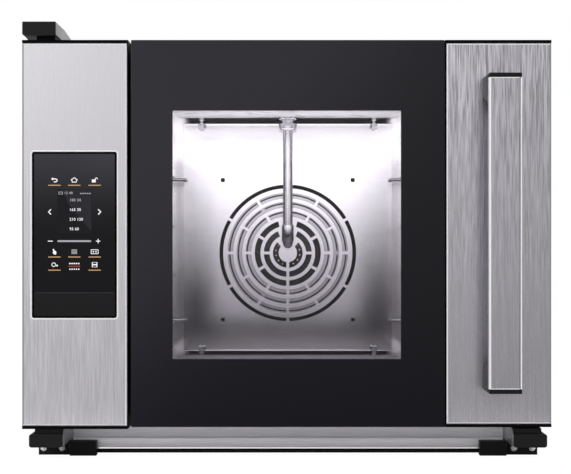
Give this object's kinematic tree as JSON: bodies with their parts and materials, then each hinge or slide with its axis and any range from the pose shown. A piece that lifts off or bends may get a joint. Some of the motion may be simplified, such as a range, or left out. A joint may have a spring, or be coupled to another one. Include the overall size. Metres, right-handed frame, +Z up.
{
  "type": "convection oven",
  "caption": "Countertop convection oven with a left-hinged glass door, a bar handle, a touch panel beside the door and a cavity with a fan behind a slotted baffle.",
  "frame": {"origin": "on the worktop, under the middle of the whole oven", "axes": "+X to the right, +Y to the back, +Z up"},
  "size_m": [0.6, 0.669, 0.5],
  "materials": {
    "front_steel": "brushed",
    "casing_steel": "brushed",
    "frame_steel": "satin",
    "cavity_steel": "polished",
    "zinc_steel": "satin",
    "hinge_steel": "satin",
    "bright_steel": "polished",
    "rack_chrome": "polished",
    "bezel_chrome": "polished",
    "heater_metal": "matte",
    "motor_metal": "cast",
    "gasket_rubber": "matte",
    "foot_rubber": "matte",
    "wool": "matte",
    "black_trim": "matte",
    "black_plastic": "satin",
    "pale_plastic": "matte",
    "board_green": "satin",
    "lamp_white": "satin",
    "touch_black": "gloss",
    "door_glass": "gloss",
    "clear_glass": "gloss"
  },
  "bodies": {
    "oven": {"side_panel_left": "casing_steel", "side_panel_right": "casing_steel", "roof_panel": "casing_steel", "base_pan": "zinc_steel", "rear_panel": "casing_steel", "front_frame": "frame_steel", "cavity_liner": "cavity_steel", "insulation": "wool", "compartment_wall": "zinc_steel", "door_gasket": "gasket_rubber", "fan_baffle": "cavity_steel", "baffle_studs": "bright_steel", "humidity_pipe": "bright_steel", "fan_motor": "motor_metal", "motor_cover": "casing_steel", "ring_heater": "heater_metal", "tray_rack_left": "rack_chrome", "tray_rack_right": "rack_chrome", "rack_hooks": "bright_steel", "temperature_probe": "bright_steel", "control_fascia": "front_steel", "fascia_trims": "black_trim", "touch_bezel": "bezel_chrome", "touch_glass": "touch_black", "control_board": "board_green", "power_board": "board_green", "terminal_block": "pale_plastic", "cooling_fan_frame": "black_plastic", "water_valve": "pale_plastic", "cable_gland": "black_plastic", "front_rail": "front_steel", "rail_strip": "foot_rubber", "rail_boxes": "black_plastic", "foot_front_left": "black_plastic", "foot_front_right": "black_plastic", "rear_feet": "black_plastic", "roof_cowl": "black_plastic", "cowl_bracket": "zinc_steel", "hinge_bottom": "hinge_steel", "hinge_top": "hinge_steel", "latch_housing": "zinc_steel"},
    "door": {"door_frame": "frame_steel", "outer_glass": "door_glass", "inner_glass": "clear_glass", "glass_clips": "bright_steel", "door_lamp_bar": "lamp_white", "door_steel_panel": "front_steel", "door_trims": "black_trim", "handle_bar": "front_steel", "handle_end_top": "black_plastic", "handle_end_bottom": "black_plastic", "latch_tongue": "hinge_steel"},
    "fan": {"fan_wheel": "cavity_steel"},
    "cooling_rotor": {"cooling_fan_rotor": "black_plastic"},
    "latch": {"latch_roller": "hinge_steel"}
  },
  "joints": [
    {"name": "door_hinge", "type": "hinge", "parent": "oven", "child": "door", "pos_m": [-0.1636, -0.264, 0.2596], "axis": [0, 0, -1], "range_deg": [0, 120]},
    {"name": "fan_spin", "type": "hinge", "parent": "oven", "child": "fan", "pos_m": [0.0015, 0.2525, 0.234], "axis": [0, 1, 0], "continuous": true},
    {"name": "cooling_fan_spin", "type": "hinge", "parent": "oven", "child": "cooling_rotor", "pos_m": [-0.24535, 0.3025, 0.387], "axis": [0, 1, 0], "continuous": true},
    {"name": "latch_roller_slide", "type": "slide", "parent": "oven", "child": "latch", "axis": [0, 0, -1], "range_m": [0, 0.003], "stiffness_N_per_m": 1500, "springref_m": -0.002}
  ]
}
